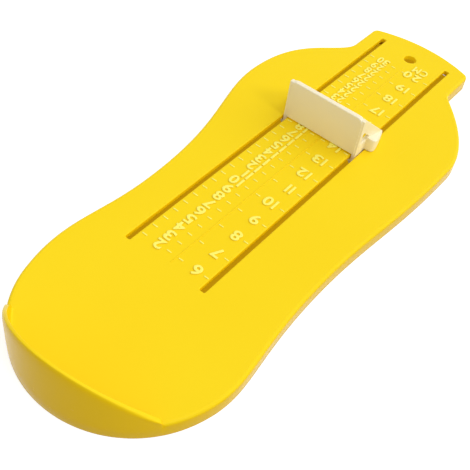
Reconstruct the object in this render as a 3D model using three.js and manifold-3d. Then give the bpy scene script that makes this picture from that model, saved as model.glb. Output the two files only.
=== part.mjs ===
// Foot measuring device for children: a sole-shaped board with a heel cup, and a toe slider that
// runs in two slots beside the scale. Both are one-piece plastic mouldings.
//
// Millimetres. X runs across the board from the middle of the scale, Y from the inside of the
// heel cup, where the scale has its zero, towards the toes, and Z up from the surface that the
// board rests on. At the end the whole model is moved so that the origin is under its middle.

import * as THREE from "three";
import { mergeVertices } from "three/addons/utils/BufferGeometryUtils.js";
import Module from "manifold-3d";

// Board: a tray turned upside down, with a skirt that leans in as it rises
const boardHeight = 6;
const deckThickness = 2;
const skirtThickness = 1.9;
const draftAngle = 0.7;
const topEdgeRadius = 1.3;
const underDeckRadius = 0.8;

// Heel cup: a round wall that follows the heel end, a little proud of the skirt, with a rim cut
// along a sloping plane. Each end of the wall stands where its rim has come down to a rise above
// the deck.
const heelCentreX = 6.5;
const heelRadius = 36;
const heelWallThickness = 1.8;
const heelWallProud = 0.1;
const heelWallHeight = 18.9;
const heelRimSlope = 52.7;
const heelRimLean = 2.3;
const heelLeftEndRise = 1.555;
const heelRightEndRise = 0.915;
const heelFootRadius = 0.8;
const heelRimFlat = 0.15;
const heelRimRoundHeight = 5;
const heelRimRoundShare = 0.27;
const heelRimInnerRadius = 0.3;

// Sides of the sole: where each side leaves the heel arc, its waist and its widest place at the
// ball of the foot, and the angle at which it runs into the toe tab
const rightSide = {
  sign: 1,
  heelAngle: -20.5,
  waistX: 41,
  waistY: 83.4,
  ballX: 45.5,
  ballY: 162.2,
  neckAngle: 51.7,
  heelPull: 18.2,
  waistPullBack: 36.7,
  waistPull: 29.4,
  ballPullBack: 36.8,
  ballPull: 18,
  neckPull: 1,
};
const leftSide = {
  sign: -1,
  heelAngle: -163.5,
  waistX: 29.95,
  waistY: 77.5,
  ballX: 43.05,
  ballY: 157.1,
  neckAngle: 59.8,
  heelPull: 22,
  waistPullBack: 22.1,
  waistPull: 43.9,
  ballPullBack: 22.3,
  ballPull: 27.3,
  neckPull: 10,
};

// Toe tab, beyond the neck, with its hanging hole
const neckY = 200.8;
const neckRounding = 2.2;
const tabLength = 23.2;
const tabWidth = 46.6;
const tabMiddleX = 0.45;
const tabEndRadius = 58;
const tabCornerRadius = 3;
const hangingHoleDiameter = 5.2;
const hangingHoleFromEnd = 13.5;

// Slots
const slotSpacing = 31.1;
const slotWidth = 2.1;
const slotStart = 55;
const slotFromEnd = 9;
const slotCornerRadius = 0.5;

// Slider: stop plate across the scale, which reaches past the middle of each slot, and a gusset and
// a pad behind each end of it
const sliderReading = 140.6;
const runningClearance = 0.3;
const plateThickness = 2;
const plateReach = 0.25;
const plateTop = 17;
const plateGap = 0.6;
const plateCornerRadius = 2.6;
const plateEdgeRadius = 0.3;
const gussetLength = 20;
const gussetShoulder = 0.7;
const gussetTailHeight = 0.8;
const windowFromSlope = 4.2;
const windowFromPlate = 0.6;
const windowSill = 4.7;
const windowCornerRadius = 0.5;
const padStart = 6.6;
const padReach = 3.4;
const padFrontHeight = 6;
const padTailHeight = 1;
const padTailTaper = 1.3;
const padSidePull = 1.5;
const padCornerRadius = 2;

// Snap legs: they pass through the slots and hook under the deck
const legSetback = 0.4;
const legLength = 13;
const legDepth = 2.2;
const barbReach = 1.1;
const barbLand = 0.5;

const colours = { board: 0xfddd1b, slider: 0xf3e6b4 };

// Worked out from the sizes above
const radians = Math.PI / 180;
const draft = Math.tan(draftAngle * radians);
const outerRadius = heelRadius + heelWallThickness;
const heelCentreY = heelRadius;
const tabEnd = neckY + tabLength;
const rimSlope = Math.tan(heelRimSlope * radians);
const rimLean = Math.tan(heelRimLean * radians);
const underDeck = boardHeight - deckThickness;
const webThickness = slotWidth - 2 * runningClearance;
const slotX = slotSpacing / 2;
const arcStep = 4.8;
const overcut = 1;

const wasm = await Module();
wasm.setup();

function toSolid(geometry) {
  const bare = geometry.clone();
  bare.deleteAttribute("normal");
  bare.deleteAttribute("uv");
  const merged = mergeVertices(bare, 1e-4);
  return new wasm.Manifold(
    new wasm.Mesh({
      numProp: 3,
      vertProperties: new Float32Array(merged.attributes.position.array),
      triVerts: new Uint32Array(merged.index.array),
    }),
  );
}

function toGeometry(solid) {
  const mesh = solid.getMesh();
  const geometry = new THREE.BufferGeometry();
  geometry.setAttribute("position", new THREE.BufferAttribute(mesh.vertProperties, 3));
  geometry.setIndex(new THREE.BufferAttribute(mesh.triVerts, 1));
  const faceted = geometry.toNonIndexed();
  faceted.computeVertexNormals();
  return faceted;
}

// A closed solid through a stack of sections, all with the same number of points, anticlockwise
// as seen from the last one. Both ends are capped with the same triangles.
function loft(sections, capTriangles) {
  const count = sections[0].length;
  const last = (sections.length - 1) * count;
  const position = sections.flat().flatMap((p) => [p.x, p.y, p.z]);
  const index = [];
  for (let base = 0; base < last; base += count) {
    for (let i = 0; i < count; i++) {
      const a = base + i;
      const b = base + ((i + 1) % count);
      index.push(a, b, b + count, a, b + count, a + count);
    }
  }
  for (const [a, b, c] of capTriangles) {
    index.push(a, c, b);
    index.push(last + a, last + b, last + c);
  }
  const geometry = new THREE.BufferGeometry();
  geometry.setAttribute("position", new THREE.Float32BufferAttribute(position, 3));
  geometry.setIndex(index);
  return toSolid(geometry);
}

// Three curves of one side, from the heel arc over the waist and the ball to the toe tab
function sideCurves(side) {
  const angle = side.heelAngle * radians;
  const neckTurn = side.neckAngle * radians;
  const point = (x, y) => new THREE.Vector2(x, y);
  const heel = point(
    heelCentreX + outerRadius * Math.cos(angle),
    heelCentreY + outerRadius * Math.sin(angle),
  );
  const heelPull = point(-Math.sin(angle), Math.cos(angle)).multiplyScalar(
    side.sign * side.heelPull,
  );
  const waist = point(side.sign * side.waistX, side.waistY);
  const ball = point(side.sign * side.ballX, side.ballY);
  const neckPull = point(-side.sign * Math.cos(neckTurn), Math.sin(neckTurn));
  const corner = point(tabMiddleX + (side.sign * tabWidth) / 2, neckY);
  const neck = corner.clone().addScaledVector(neckPull, -neckRounding);
  const tabFoot = point(corner.x, corner.y + neckRounding);
  const along = (from, y) => point(from.x, from.y + y);
  return [
    new THREE.CubicBezierCurve(
      heel,
      heel.clone().add(heelPull),
      along(waist, -side.waistPullBack),
      waist,
    ),
    new THREE.CubicBezierCurve(
      waist,
      along(waist, side.waistPull),
      along(ball, -side.ballPullBack),
      ball,
    ),
    new THREE.CubicBezierCurve(
      ball,
      along(ball, side.ballPull),
      neck.clone().addScaledVector(neckPull, -side.neckPull),
      neck,
    ),
    new THREE.QuadraticBezierCurve(neck, corner, tabFoot),
  ];
}

// The rounded end of the toe tab, from its right side to its left side
function tabCurves() {
  const right = tabMiddleX + tabWidth / 2;
  const left = tabMiddleX - tabWidth / 2;
  const centreY = tabEnd - tabEndRadius;
  const cornerX = tabWidth / 2 - tabCornerRadius;
  const reach = tabEndRadius - tabCornerRadius;
  const cornerY = centreY + Math.sqrt(reach * reach - cornerX * cornerX);
  const turn = Math.atan2(cornerY - centreY, cornerX);
  const arc = (x, y, radius, from, to) =>
    new THREE.EllipseCurve(tabMiddleX + x, y, radius, radius, from, to, false, 0);
  const foot = neckY + neckRounding;
  return [
    new THREE.LineCurve(new THREE.Vector2(right, foot), new THREE.Vector2(right, cornerY)),
    arc(cornerX, cornerY, tabCornerRadius, 0, turn),
    arc(0, centreY, tabEndRadius, turn, Math.PI - turn),
    arc(-cornerX, cornerY, tabCornerRadius, Math.PI - turn, Math.PI),
    new THREE.LineCurve(new THREE.Vector2(left, cornerY), new THREE.Vector2(left, foot)),
  ];
}

function reversed(curve) {
  return curve.isCubicBezierCurve
    ? new THREE.CubicBezierCurve(curve.v3, curve.v2, curve.v1, curve.v0)
    : new THREE.QuadraticBezierCurve(curve.v2, curve.v1, curve.v0);
}

function heelArc() {
  return new THREE.EllipseCurve(
    heelCentreX,
    heelCentreY,
    outerRadius,
    outerRadius,
    leftSide.heelAngle * radians,
    rightSide.heelAngle * radians,
    false,
    0,
  );
}

// The outer edge of the sole, anticlockwise, as points with their outward normals
function soleOutline() {
  const right = sideCurves(rightSide);
  const left = sideCurves(leftSide).map(reversed).reverse();
  const pieces = [
    [right[0], 10],
    [right[1], 14],
    [right[2], 12],
    [right[3], 3],
    ...tabCurves().map((curve, i) => [curve, [1, 4, 12, 4, 1][i]]),
    [left[0], 3],
    [left[1], 12],
    [left[2], 14],
    [left[3], 10],
    [heelArc(), Math.round((rightSide.heelAngle - leftSide.heelAngle) / arcStep)],
  ];
  const outline = [];
  for (const [curve, steps] of pieces) {
    for (let i = 0; i < steps; i++) {
      const point = curve.getPoint(i / steps);
      const tangent = curve.getTangent(i / steps);
      outline.push({ point, normal: new THREE.Vector2(tangent.y, -tangent.x) });
    }
  }
  return outline;
}

// The sole's outline drawn in by an amount at each height
function soleStack(outline, levels) {
  const sections = levels.map(([inset, z]) =>
    outline.map(({ point, normal }) => {
      const p = point.clone().addScaledVector(normal, -inset);
      return new THREE.Vector3(p.x, p.y, z);
    }),
  );
  const caps = THREE.ShapeUtils.triangulateShape(
    sections[0].map((p) => new THREE.Vector2(p.x, p.y)),
    [],
  );
  return loft(sections, caps);
}

// Inset and height along a quarter round, from an upright wall over to a level face
function roundLevels(radius, top, steps) {
  const levels = [];
  for (let i = 0; i <= steps; i++) {
    const turn = (i / steps) * (Math.PI / 2);
    const z = top - radius + radius * Math.sin(turn);
    levels.push([radius * (1 - Math.cos(turn)), z]);
  }
  return levels;
}

function boardBlock(outline) {
  const levels = roundLevels(topEdgeRadius, boardHeight, 4).map(([inset, z]) => [
    inset + draft * z,
    z,
  ]);
  return soleStack(outline, [[0, 0], ...levels]);
}

function boardHollow(outline) {
  const levels = roundLevels(underDeckRadius, underDeck, 3).map(([inset, z]) => [
    skirtThickness + inset + draft * z,
    z,
  ]);
  return soleStack(outline, [[skirtThickness - draft * overcut, -overcut], ...levels]);
}

// Height of the rim of the heel cup: where the wall's inner face meets a sloping plane
function rimHeight(angle) {
  const x = heelRadius * Math.cos(angle);
  const y = heelCentreY + heelRadius * Math.sin(angle);
  return boardHeight + heelWallHeight - rimSlope * y + rimLean * x;
}

// Angle of one end of the heel wall, where its rim stands at a rise above the deck
function wallEndAngle(side, rise) {
  const fall = heelWallHeight - rise - rimSlope * heelCentreY;
  const turn = Math.asin(fall / (heelRadius * Math.hypot(rimSlope, rimLean)));
  const lean = Math.atan2(rimLean, rimSlope);
  return side > 0 ? lean + turn : lean - turn - Math.PI;
}

// Replaces a corner of a section by a short arc-like curve of the given radius
function roundedCorner(before, corner, after, radius, steps) {
  const toBefore = before.clone().sub(corner).normalize();
  const toAfter = after.clone().sub(corner).normalize();
  const halfAngle = Math.acos(THREE.MathUtils.clamp(toBefore.dot(toAfter), -1, 1)) / 2;
  const run = radius / Math.tan(halfAngle);
  const start = corner.clone().addScaledVector(toBefore, run);
  const end = corner.clone().addScaledVector(toAfter, run);
  const centre = corner
    .clone()
    .addScaledVector(toBefore.add(toAfter).normalize(), radius / Math.sin(halfAngle));
  const points = [];
  for (let i = 0; i <= steps; i++) {
    const mix = start.clone().lerp(end, i / steps).sub(centre);
    points.push(centre.clone().add(mix.setLength(radius)));
  }
  return points;
}

// The outer top corner of the heel wall, drawn out into a long soft round down its outside
function softCorner(corner, width, height) {
  const curve = new THREE.QuadraticBezierCurve(
    new THREE.Vector2(corner.x - width, corner.y),
    corner,
    new THREE.Vector2(corner.x + draft * height, corner.y - height),
  );
  return curve.getPoints(4);
}

// One radial section of the heel cup, as points (distance from the heel centre, height), from the
// deck over the rim to the outer foot
function heelSection(angle) {
  const rim = rimHeight(angle);
  const outerFoot = new THREE.Vector2(outerRadius + heelWallProud, 0);
  const outerRim = new THREE.Vector2(outerFoot.x - draft * rim, rim);
  const innerRim = new THREE.Vector2(heelRadius + draft * (rim - boardHeight), rim);
  const innerFoot = new THREE.Vector2(heelRadius, boardHeight);
  const onDeck = new THREE.Vector2(heelRadius - 2 * heelFootRadius, boardHeight);
  const footRadius = Math.min(heelFootRadius, (rim - boardHeight) / 2);
  const fillet = roundedCorner(onDeck, innerFoot, innerRim, footRadius, 4);
  const roundWidth = outerRim.x - innerRim.x - heelRimInnerRadius - heelRimFlat;
  const roundHeight = Math.min(heelRimRoundHeight, (rim - boardHeight) * heelRimRoundShare);
  return [
    new THREE.Vector2(fillet[0].x, 0),
    ...fillet,
    ...roundedCorner(innerFoot, innerRim, outerRim, heelRimInnerRadius, 2),
    ...softCorner(outerRim, roundWidth, roundHeight),
    outerFoot,
  ];
}

function heelCup() {
  const start = wallEndAngle(-1, heelLeftEndRise);
  const end = wallEndAngle(1, heelRightEndRise);
  const steps = Math.round((end - start) / (arcStep * radians));
  const sections = [];
  let endFace;
  for (let i = 0; i <= steps; i++) {
    const angle = start + ((end - start) * i) / steps;
    const section = heelSection(angle);
    endFace ??= section.map(({ x: radius, y: z }) => new THREE.Vector2(-radius, z));
    sections.push(
      section.map(
        ({ x: radius, y: z }) =>
          new THREE.Vector3(
            heelCentreX + radius * Math.cos(angle),
            heelCentreY + radius * Math.sin(angle),
            z,
          ),
      ),
    );
  }
  return loft(sections, THREE.ShapeUtils.triangulateShape(endFace, []));
}

function prism(shape, depth, options = {}) {
  return new THREE.ExtrudeGeometry(shape, { depth, bevelEnabled: false, ...options });
}

function roundedBox(shape, x0, y0, x1, y1, radius) {
  shape.moveTo(x0 + radius, y0);
  shape.lineTo(x1 - radius, y0);
  shape.absarc(x1 - radius, y0 + radius, radius, -Math.PI / 2, 0);
  shape.absarc(x1 - radius, y1 - radius, radius, 0, Math.PI / 2);
  shape.absarc(x0 + radius, y1 - radius, radius, Math.PI / 2, Math.PI);
  shape.absarc(x0 + radius, y0 + radius, radius, Math.PI, Math.PI * 1.5);
  return shape;
}

// Cutter for one slot, right through the deck
function slotCutter(x) {
  const shape = new THREE.Shape();
  const half = slotWidth / 2;
  const end = tabEnd - slotFromEnd;
  roundedBox(shape, x - half, slotStart, x + half, end, slotCornerRadius);
  const geometry = prism(shape, deckThickness + 2 * overcut, { curveSegments: 3 });
  geometry.translate(0, 0, underDeck - overcut);
  return toSolid(geometry);
}

function hangingHoleCutter() {
  const shape = new THREE.Shape();
  const y = tabEnd - hangingHoleFromEnd;
  shape.absarc(0, y, hangingHoleDiameter / 2, 0, Math.PI * 2);
  const geometry = prism(shape, deckThickness + 2 * overcut, { curveSegments: 24 });
  geometry.translate(0, 0, underDeck - overcut);
  return toSolid(geometry);
}

function soleBoard() {
  const outline = soleOutline();
  return boardBlock(outline)
    .add(heelCup())
    .subtract(boardHollow(outline))
    .subtract(slotCutter(-slotX))
    .subtract(slotCutter(slotX))
    .subtract(hangingHoleCutter());
}

// Turns a shape drawn as (y, z) and extruded by its depth so that the depth runs along X
function acrossX(geometry, x) {
  geometry.applyMatrix4(new THREE.Matrix4().set(0, 0, 1, x, 1, 0, 0, 0, 0, 1, 0, 0, 0, 0, 0, 1));
  return geometry;
}

// Turns a shape drawn as (x, z) and extruded by its depth so that the depth runs along Y
function alongY(geometry, y) {
  geometry.applyMatrix4(new THREE.Matrix4().set(1, 0, 0, 0, 0, 0, -1, y, 0, 1, 0, 0, 0, 0, 0, 1));
  return geometry;
}

function stopPlate() {
  const half = slotX + plateReach;
  const foot = boardHeight + plateGap;
  const top = boardHeight + plateTop;
  const shape = new THREE.Shape();
  shape.moveTo(-half, foot);
  shape.lineTo(half, foot);
  shape.lineTo(half, top - plateCornerRadius);
  shape.absarc(half - plateCornerRadius, top - plateCornerRadius, plateCornerRadius, 0, Math.PI / 2);
  shape.absarc(
    plateCornerRadius - half,
    top - plateCornerRadius,
    plateCornerRadius,
    Math.PI / 2,
    Math.PI,
  );
  const geometry = prism(shape, plateThickness - 2 * plateEdgeRadius, {
    curveSegments: 5,
    bevelEnabled: true,
    bevelThickness: plateEdgeRadius,
    bevelSize: plateEdgeRadius,
    bevelOffset: -plateEdgeRadius,
    bevelSegments: 2,
  });
  return toSolid(alongY(geometry, sliderReading + plateThickness - plateEdgeRadius));
}

// Height of a gusset's sloping edge above its tail, at a distance behind the plate's back
function gussetSlope() {
  const run = gussetLength - plateThickness;
  const top = plateTop - gussetShoulder;
  return { run, top, fall: (top - gussetTailHeight) / run };
}

// Side view of one gusset with its leg: a triangle behind the plate, with a window near the plate
function gussetShape() {
  const { run, top, fall } = gussetSlope();
  const back = sliderReading + plateThickness;
  const deck = boardHeight;
  const foot = deck + runningClearance;
  const tail = sliderReading + gussetLength;
  const legFront = sliderReading + legSetback;
  const legBack = legFront + legLength;
  const legFoot = underDeck - legDepth;
  const shape = new THREE.Shape();
  shape.moveTo(legFront, legFoot);
  shape.lineTo(legBack, legFoot);
  shape.lineTo(legBack, foot);
  shape.lineTo(tail, foot);
  shape.lineTo(back + run, deck + gussetTailHeight);
  shape.lineTo(back, deck + top);
  shape.lineTo(legFront, deck + top);
  const windowY = back + windowFromPlate;
  const sill = deck + windowSill;
  const slopeDrop = windowFromSlope * Math.hypot(1, fall);
  const edgeAt = (y) => deck + top - slopeDrop - fall * (y - back);
  const tip = back + (deck + top - slopeDrop - sill) / fall;
  const corners = [
    new THREE.Vector2(windowY, sill),
    new THREE.Vector2(tip, sill),
    new THREE.Vector2(windowY, edgeAt(windowY)),
  ];
  const window = corners.flatMap((corner, i) =>
    roundedCorner(corners[(i + 2) % 3], corner, corners[(i + 1) % 3], windowCornerRadius, 3),
  );
  shape.holes.push(new THREE.Path(window));
  return shape;
}

function gusset(side) {
  const left = side * slotX - webThickness / 2;
  return toSolid(acrossX(prism(gussetShape(), webThickness), left));
}

// Pad that slides on the deck outside the slot: a D in plan, falling towards its tail
function pad(side) {
  const face = slotX + webThickness / 2;
  const root = slotX;
  const reach = face + padReach;
  const front = sliderReading + padStart;
  const tail = sliderReading + gussetLength;
  const foot = boardHeight + runningClearance;
  const cornerEnd = front + padCornerRadius;
  const plan = new THREE.Shape();
  plan.moveTo(root, front);
  plan.lineTo(reach - padCornerRadius, front);
  plan.quadraticCurveTo(reach, front, reach, cornerEnd);
  plan.bezierCurveTo(
    reach,
    cornerEnd + padSidePull,
    face + padTailTaper,
    tail - 2 * padTailTaper,
    face,
    tail,
  );
  plan.lineTo(root, tail);
  const profile = new THREE.Shape();
  profile.moveTo(front - overcut, foot);
  profile.lineTo(tail + overcut, foot);
  profile.lineTo(tail, boardHeight + padTailHeight);
  profile.lineTo(front - overcut, boardHeight + padFrontHeight);
  const column = prism(plan, padFrontHeight + overcut, { curveSegments: 8 });
  column.translate(0, 0, foot - overcut / 2);
  const wedge = acrossX(prism(profile, reach), root - overcut);
  const solid = toSolid(column).intersect(toSolid(wedge));
  return side > 0 ? solid : solid.mirror([1, 0, 0]);
}

// Barbs on both sides of a leg, with a sloping lead for the snap and a flat face under the deck
function barbs(side) {
  const x = side * slotX;
  const half = webThickness / 2;
  const top = underDeck - runningClearance;
  const foot = underDeck - legDepth;
  const shape = new THREE.Shape();
  shape.moveTo(x - half, foot);
  shape.lineTo(x + half, foot);
  shape.lineTo(x + half + barbReach, top - barbLand);
  shape.lineTo(x + half + barbReach, top);
  shape.lineTo(x - half - barbReach, top);
  shape.lineTo(x - half - barbReach, top - barbLand);
  return toSolid(alongY(prism(shape, legLength), sliderReading + legSetback + legLength));
}

function toeSlider() {
  return [-1, 1].reduce(
    (solid, side) => solid.add(gusset(side)).add(pad(side)).add(barbs(side)),
    stopPlate(),
  );
}

function piece(name, solid, color, roughness) {
  const material = new THREE.MeshStandardMaterial({ color, roughness, metalness: 0 });
  const mesh = new THREE.Mesh(toGeometry(solid), material);
  mesh.name = name;
  return mesh;
}

const device = new THREE.Group();
device.add(piece("sole_board", soleBoard(), colours.board, 0.35));
device.add(piece("toe_slider", toeSlider(), colours.slider, 0.4));

const bounds = new THREE.Box3().setFromObject(device);
const middle = bounds.getCenter(new THREE.Vector3());
device.position.set(-middle.x, -middle.y, -bounds.min.z);

export default device;
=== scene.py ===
"""A device that measures a child's foot: a yellow sole-shaped board with a heel cup, two slots and a
raised centimetre scale, and an ivory toe slider that runs in the slots.

Shapes are drawn in millimetres in the board's own frame: X across the board from the middle of the
scale, Y from the inside of the heel cup, where the scale has its zero, towards the toes, and Z up
from the table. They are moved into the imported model's frame, in metres, when a mesh is made.
"""

import math

import bmesh
import bpy
from mathutils import Matrix, Vector
from mathutils.geometry import interpolate_bezier


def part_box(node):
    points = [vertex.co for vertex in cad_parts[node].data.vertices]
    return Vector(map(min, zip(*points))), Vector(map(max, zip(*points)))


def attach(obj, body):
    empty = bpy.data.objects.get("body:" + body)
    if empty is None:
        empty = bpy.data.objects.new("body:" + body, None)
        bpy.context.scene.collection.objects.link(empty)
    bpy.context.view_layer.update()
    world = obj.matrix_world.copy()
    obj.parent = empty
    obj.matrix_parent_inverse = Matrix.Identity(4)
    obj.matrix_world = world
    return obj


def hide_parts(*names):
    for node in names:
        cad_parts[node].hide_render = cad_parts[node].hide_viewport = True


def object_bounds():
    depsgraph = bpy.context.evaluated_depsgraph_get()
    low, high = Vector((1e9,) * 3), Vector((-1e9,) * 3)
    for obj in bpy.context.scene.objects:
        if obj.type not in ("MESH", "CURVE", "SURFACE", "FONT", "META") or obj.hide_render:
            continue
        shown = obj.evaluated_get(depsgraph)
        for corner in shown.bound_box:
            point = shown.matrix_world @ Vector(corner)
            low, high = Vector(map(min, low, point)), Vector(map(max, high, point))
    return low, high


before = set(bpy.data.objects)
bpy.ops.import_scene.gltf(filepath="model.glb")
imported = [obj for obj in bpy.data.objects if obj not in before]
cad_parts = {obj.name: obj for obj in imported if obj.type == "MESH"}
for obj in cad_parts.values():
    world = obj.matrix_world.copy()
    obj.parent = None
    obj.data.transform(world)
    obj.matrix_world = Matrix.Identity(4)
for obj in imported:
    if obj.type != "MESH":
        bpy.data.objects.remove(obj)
cad_low, cad_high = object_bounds()

MM = 0.001
SHARP_ANGLE = math.radians(35)
WHITE = (1.0, 1.0, 1.0, 1.0)

# Board
BOARD_HEIGHT = 6.0
DECK_THICKNESS = 2.0
SKIRT_THICKNESS = 1.9
DRAFT = math.tan(math.radians(0.7))
TOP_EDGE_RADIUS = 1.3
UNDER_DECK = BOARD_HEIGHT - DECK_THICKNESS
UNDER_DECK_RADIUS = 0.8
FOOT_EDGE_RADIUS = 0.25
UNDERSIDE_MARGIN = 0.1

# Level deck beside the heel wall and beside the rounded edge, as distances from their rounds
DECK_BY_WALL = (1.6, 1.1, 0.6)
DECK_BY_EDGE = (0.6, 0.4, 0.2)

# Heel cup
HEEL_CENTRE = Vector((6.5, 36.0))
HEEL_RADIUS = 36.0
HEEL_WALL = 1.8
HEEL_WALL_PROUD = 0.1
HEEL_OUTER_RADIUS = HEEL_RADIUS + HEEL_WALL
HEEL_WALL_HEIGHT = 18.9
HEEL_RIM_SLOPE = math.tan(math.radians(52.7))
HEEL_RIM_LEAN = math.tan(math.radians(2.3))
HEEL_WALL_START = -139.0
HEEL_WALL_END = -36.5
HEEL_FOOT_RADIUS = 0.8
HEEL_RIM_FLAT = 0.5
HEEL_RIM_ROUND_HEIGHT = 5.0
HEEL_RIM_ROUND_SHARE = 0.27
HEEL_RIM_INNER_RADIUS = 0.3
HEEL_END_RADIUS = 0.35

# Sides of the sole: ends and directions of their curves, and how far each end pulls its curve
RIGHT_SIDE = {
    "sign": 1,
    "heel_angle": -20.5,
    "heel_pull": 18.2,
    "waist": (41.0, 83.4),
    "waist_back": 36.7,
    "waist_pull": 29.4,
    "ball": (45.5, 162.2),
    "ball_back": 36.8,
    "ball_pull": 18.0,
    "neck_angle": 51.7,
    "neck_pull": 1.0,
}
LEFT_SIDE = {
    "sign": -1,
    "heel_angle": -163.5,
    "heel_pull": 22.0,
    "waist": (29.95, 77.5),
    "waist_back": 22.1,
    "waist_pull": 43.9,
    "ball": (43.05, 157.1),
    "ball_back": 22.3,
    "ball_pull": 27.3,
    "neck_angle": 59.8,
    "neck_pull": 10.0,
}

# Toe tab, hanging hole and slots
NECK_Y = 200.8
NECK_ROUNDING = 2.2
NECK_CORNER_PULL = 2 / 3
TAB_LENGTH = 23.2
TAB_END = NECK_Y + TAB_LENGTH
TAB_WIDTH = 46.6
TAB_MIDDLE_X = 0.45
TAB_END_RADIUS = 58.0
TAB_CORNER_RADIUS = 3.0
HANGING_HOLE_FROM_END = 13.5
HANGING_HOLE = Vector((0.0, TAB_END - HANGING_HOLE_FROM_END))
HANGING_HOLE_RADIUS = 2.6
SLOT_X = 15.55
SLOT_WIDTH = 2.1
SLOT_START = 55.0
SLOT_FROM_END = 9.0
SLOT_END = TAB_END - SLOT_FROM_END
SLOT_CORNER_RADIUS = 0.5
SLOT_EDGE_RADIUS = 0.3
OPENING_MARGIN = 0.5

# Scale: two columns of raised figures that read from the toe end, their ticks and a divider
RELIEF = 0.4
RELIEF_SUNK = 0.05
FINE_FIRST, FINE_LAST, FINE_PITCH, FINE_ZERO = 2, 30, 5.0, 50.0
CM_FIRST, CM_LAST, CM_PITCH = 6, 20, 10.0
TICK_RISE = 0.2
TICK_WIDTH = 0.5
FINE_TICKS = ((-13.7, -11.5), (-3.1, -1.2))
CM_TICKS = ((1.9, 3.8), (12.25, 14.1))
DIVIDER_RISE = 0.12
DIVIDER_X = (0.95, 1.35)
DIVIDER_Y = (57.0, 203.0)
BAR_WIDTH_TO_CORNER = 2.2
BAR_TOP_INSET = 0.4

# Figures: X where a number starts, height and widths of its characters, and the gap between them
FINE_SINGLE = {"x": -4.8, "height": 4.4, "digit": 3.4, "one": 1.0, "gap": 0.4}
FINE_TEEN = {"x": -4.5, "height": 4.4, "digit": 3.1, "one": 0.9, "gap": 0.8}
FINE_HIGH = {"x": -4.7, "height": 4.4, "digit": 2.3, "one": 0.9, "gap": 0.4}
CM_SINGLE = {"x": 10.9, "height": 4.6, "digit": 3.35, "one": 0.9, "gap": 0.4}
CM_DOUBLE = {"x": 10.5, "height": 4.6, "digit": 3.3, "one": 0.9, "gap": 0.8}
UNIT = {"x": 11.0, "height": 4.3, "C": 2.8, "M": 3.0, "gap": 0.6}
UNIT_Y = 205.4

# Section of a figure's strokes before it is scaled, in shares of the font's size
STROKE_DEPTH = 0.01
STROKE_BEVEL = 0.03

# Slider
SLIDER_Y = 140.6
PLATE_THICKNESS = 2.0
PLATE_REACH = 0.25
PLATE_WIDTH = 2 * (SLOT_X + PLATE_REACH)
PLATE_TOP = BOARD_HEIGHT + 17.0
PLATE_FOOT = BOARD_HEIGHT + 0.6
PLATE_CORNER_RADIUS = 2.6
PLATE_FOOT_RADIUS = 0.4
PLATE_EDGE_RADIUS = 0.35
RUNNING_CLEARANCE = 0.3
WEB_THICKNESS = SLOT_WIDTH - 2 * RUNNING_CLEARANCE
GUSSET_LENGTH = 20.0
GUSSET_TOP = PLATE_TOP - 0.7
GUSSET_TAIL_TOP = BOARD_HEIGHT + 0.8
GUSSET_FOOT = BOARD_HEIGHT + RUNNING_CLEARANCE
GUSSET_EDGE_RADIUS = 0.22
LEG_CORNER_RADII = (0.3, 0.4, 0.25)
GUSSET_CORNER_RADII = (0.25, 0.25, 0.5, 0.3)
WINDOW_FROM_SLOPE = 4.2
WINDOW_FROM_PLATE = 0.6
WINDOW_SILL = BOARD_HEIGHT + 4.7
WINDOW_CORNER_RADIUS = 0.5
PAD_START = 6.6
PAD_REACH = 3.4
PAD_FRONT_TOP = BOARD_HEIGHT + 5.7
PAD_TAIL_TOP = BOARD_HEIGHT + 1.0
PAD_CORNER_RADIUS = 2.0
PAD_TAIL_TAPER = 1.3
PAD_SIDE_PULL = 1.5
PAD_EDGE_RADIUS = 0.5
PAD_LEAST_HEIGHT = 0.05
LEG_SETBACK = 0.4
LEG_LENGTH = 13.0
LEG_FOOT = UNDER_DECK - 2.2
BARB_REACH = 1.1
BARB_LAND = 0.5
BARB_CORNER_RADIUS = 0.15
BARB_EDGE_RADIUS = 0.12

# Fineness of the rounds, as spacings along curves and steps in rounds
SOLE_SPACING = 1.0
HOLE_SPACING = 0.3
PAD_SPACING = 0.7
EDGE_STEPS = 3
PAD_EDGE_STEPS = 4
CORNER_STEPS = 8
FOOT_EDGE_STEPS = 3
UNDER_DECK_STEPS = 4
WALL_END_STEPS = 4
WALL_FOOT_STEPS = 6
WALL_FACE_STEPS = 5
RIM_INNER_STEPS = 4
RIM_ROUND_STEPS = 12
WALL_OUTER_STEPS = 5

# Plastics: sRGB tones at large, in the drift, painted as shade on steep walls, shine, and surface
# values
BOARD_PLASTIC = {
    "tone": (252, 220, 34),
    "drift": (250, 214, 30),
    "upright": (250, 205, 4),
    "shine": 0.03,
    "surface": {"Gloss": 0.2, "Peel Depth": 0.05, "Rub": 0.12},
}
# Figures and ticks: the board's yellow made paler, as a painted highlight on their rounded tops
RELIEF_PAINTED_HIGHLIGHT = {
    "tone": (255, 246, 112),
    "drift": (255, 243, 100),
    "upright": (245, 215, 40),
    "shine": 0.4,
    "surface": {"Gloss": 0.3, "Peel Depth": 0.03, "Rub": 0.1},
}
SLIDER_PLASTIC = {
    "tone": (252, 243, 214),
    "drift": (248, 237, 204),
    "upright": (250, 240, 203),
    "shine": 0.25,
    "surface": {"Gloss": 0.33, "Peel Depth": 0.05, "Rub": 0.1},
}

# Moulded surface: normal's Z where the painted wall shade starts and is full, rubs, and peel in
# metres
WALL_SHADE_FROM, WALL_SHADE_TO = 0.7, 0.1
RUB_SCALE = 700.0
RUB_FROM, RUB_TO = 0.55, 0.8
RUB_STRETCH = (1.0, 0.12, 1.0)
RUB_TURN = (0.0, 0.0, 0.5)
PEEL_HEIGHT = 0.0002

# Camera, in the board's frame
CAMERA_PLACE = Vector((99.125, -68.25, 197.36))
CAMERA_TURN = (41.842, -6.467, 38.571)
CAMERA_LENS = 60.83
CAMERA_SENSOR = 36.0

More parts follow.
